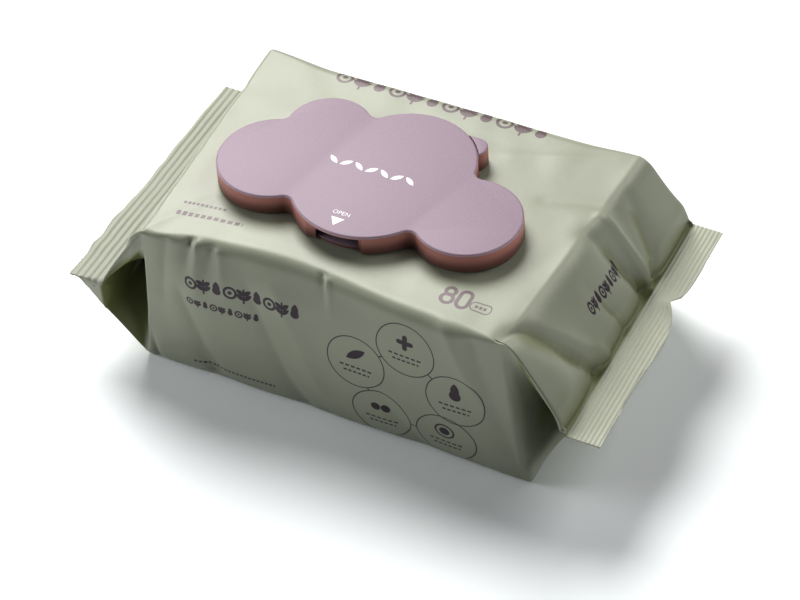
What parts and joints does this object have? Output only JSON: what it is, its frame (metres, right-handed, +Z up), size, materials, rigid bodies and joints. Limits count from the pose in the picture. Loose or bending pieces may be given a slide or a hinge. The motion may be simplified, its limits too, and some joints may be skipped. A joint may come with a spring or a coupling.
{
  "type": "wet wipes pack",
  "caption": "Gusseted film pack of wet wipes with crimped end fins and a cloud-shaped flip lid on top.",
  "frame": {"origin": "centre of the bounding box's base, on the surface the pack lies on", "axes": "+Z up through the lid, +X along the pack from fin to fin, -Y out of the long face below the lid's thumb notch"},
  "size_m": [0.2076, 0.113, 0.0734],
  "materials": {
    "film": "satin printed film, pale grey-green",
    "lid_base_plastic": "moulded polypropylene, dusty mauve",
    "lid_plastic": "moulded polypropylene, dusty mauve, fine matt texture",
    "label": "matt coated label"
  },
  "bodies": {
    "pack": {"wrapper": "film", "lid_base": "lid_base_plastic", "seal_label": "label"},
    "lid": {"lid": "lid_plastic"}
  },
  "joints": [
    {"name": "lid_hinge", "type": "hinge", "parent": "pack", "child": "lid", "pos_m": [-0.0016, 0.0316, 0.0718], "axis": [-1, 0, 0], "range_deg": [0, 110]}
  ]
}
